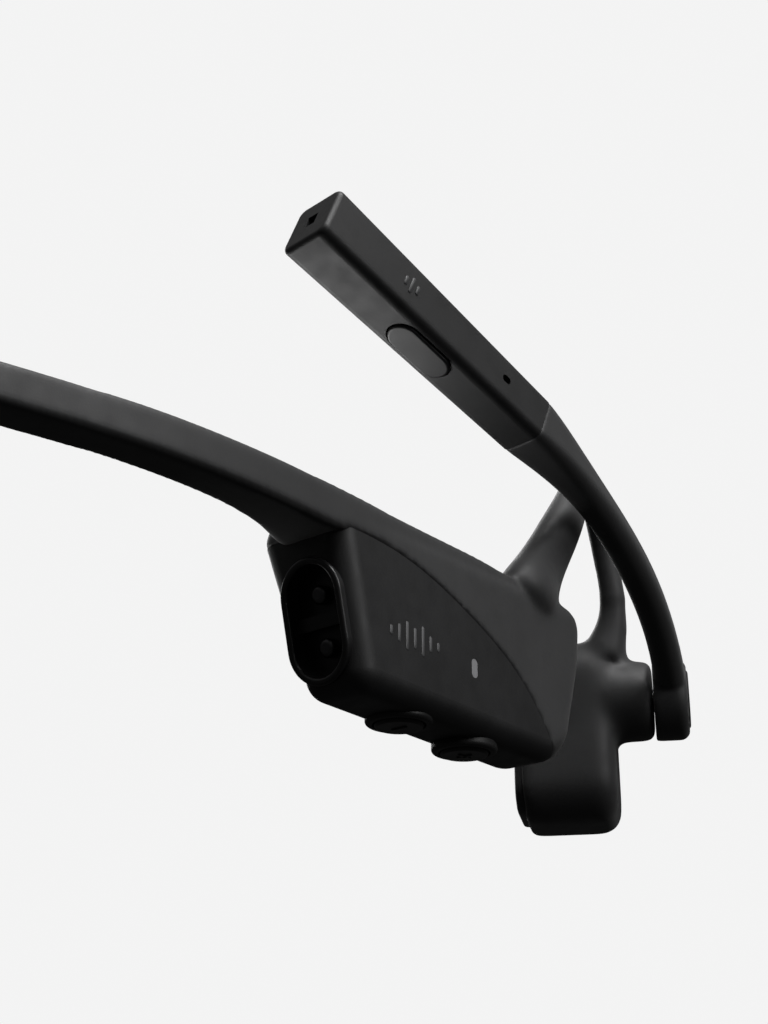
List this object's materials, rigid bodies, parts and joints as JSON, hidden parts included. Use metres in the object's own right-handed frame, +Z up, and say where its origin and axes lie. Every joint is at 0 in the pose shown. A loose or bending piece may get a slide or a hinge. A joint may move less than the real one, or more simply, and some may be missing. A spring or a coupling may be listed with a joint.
{
  "type": "bone conduction headphones",
  "caption": "Behind-the-head bone conduction headset with ear hooks, control pods, temple transducers and a swinging boom microphone.",
  "frame": {"origin": "on the symmetry plane, level with the surface that the headset stands on, at the middle of the head opening", "axes": "+Z up, the wearer faces -Y, the wearer's left is +X, and the microphone boom is on the -X side"},
  "size_m": [0.1445, 0.1394, 0.0551],
  "materials": {
    "soft_overmould": "matt soft-touch silicone",
    "pod_shell": "fine moulded texture",
    "transducer_shell": "matt soft-touch skin over a hard shell",
    "pad_silicone": "smooth skin-contact silicone",
    "button_plastic": "satin",
    "port_plastic": "satin black",
    "contact_metal": "dark plated contacts",
    "light_lens": "diffusing translucent plastic",
    "spring_metal": "drawn wire and sheet",
    "cable_jacket": "thin jacket",
    "magnet": "nickel plated",
    "driver_steel": "pressed steel",
    "coil_copper": "enamelled copper wire",
    "inner_plastic": "moulded",
    "circuit_board": "solder mask",
    "shield_metal": "tinned sheet",
    "electronics": "small components",
    "battery_pouch": "laminate pouch",
    "mic_screen": "fine woven mesh"
  },
  "bodies": {
    "root": {"neckband_sleeve": "soft_overmould", "right_hook_sleeve": "soft_overmould", "left_hook_sleeve": "soft_overmould", "right_pod_outer_shell": "pod_shell", "right_pod_inner_shell": "pod_shell", "left_pod_outer_shell": "pod_shell", "left_pod_inner_shell": "pod_shell", "right_transducer_shell": "transducer_shell", "left_transducer_shell": "transducer_shell", "right_contact_pad": "pad_silicone", "left_contact_pad": "pad_silicone", "charge_port_frame": "port_plastic", "charge_contacts": "contact_metal", "status_light_pipe": "light_lens", "neckband_spring_wire": "spring_metal", "right_hook_wire": "spring_metal", "left_hook_wire": "spring_metal", "right_driver_spring_plate": "spring_metal", "left_driver_spring_plate": "spring_metal", "boom_retaining_clip": "spring_metal", "boom_pivot_axle": "spring_metal", "neckband_cable": "cable_jacket", "right_hook_cable": "cable_jacket", "left_hook_cable": "cable_jacket", "charge_port_magnets": "magnet", "right_driver_magnet": "magnet", "left_driver_magnet": "magnet", "right_driver_yoke": "driver_steel", "left_driver_yoke": "driver_steel", "right_driver_pole_plate": "driver_steel", "left_driver_pole_plate": "driver_steel", "right_driver_voice_coil": "coil_copper", "left_driver_voice_coil": "coil_copper", "right_driver_bracket": "inner_plastic", "left_driver_bracket": "inner_plastic", "main_board": "circuit_board", "battery_board": "circuit_board", "radio_shield": "shield_metal", "status_led": "electronics", "volume_switches": "electronics", "multifunction_switch": "electronics", "battery": "battery_pouch"},
    "boom": {"boom_arm": "soft_overmould", "boom_arm_wire": "spring_metal", "boom_arm_cable": "cable_jacket", "boom_hub_cap": "pod_shell", "boom_head_shell": "pod_shell", "mute_switch": "electronics", "boom_board": "circuit_board", "boom_tip_microphone": "electronics", "boom_side_microphone": "electronics", "boom_tip_screen": "mic_screen", "boom_side_screen": "mic_screen", "boom_friction_washer": "spring_metal"},
    "mute_button": {"mute_button": "button_plastic"},
    "volume_minus_button": {"volume_minus_button": "button_plastic"},
    "volume_plus_button": {"volume_plus_button": "button_plastic"},
    "multifunction_button": {"multifunction_button": "button_plastic"}
  },
  "joints": [
    {"name": "boom_swing", "type": "hinge", "parent": "root", "child": "boom", "pos_m": [-0.0722, -0.0597, 0.0178], "axis": [0.9781, 0.2079, 0], "range_deg": [-8, 190]},
    {"name": "mute_press", "type": "slide", "parent": "boom", "child": "mute_button", "axis": [-0.1725, -0.3277, 0.9289], "range_m": [0, 0.0003], "stiffness_N_per_m": 4000, "springref_m": -0.0001},
    {"name": "volume_minus_press", "type": "slide", "parent": "root", "child": "volume_minus_button", "axis": [0, 0, 1], "range_m": [0, 0.0003], "stiffness_N_per_m": 4000, "springref_m": -0.0001},
    {"name": "volume_plus_press", "type": "slide", "parent": "root", "child": "volume_plus_button", "axis": [0, 0, 1], "range_m": [0, 0.0003], "stiffness_N_per_m": 4000, "springref_m": -0.0001},
    {"name": "multifunction_press", "type": "slide", "parent": "root", "child": "multifunction_button", "axis": [-0.9781, 0.2079, 0], "range_m": [0, 0.0003], "stiffness_N_per_m": 4000, "springref_m": -0.0001}
  ]
}
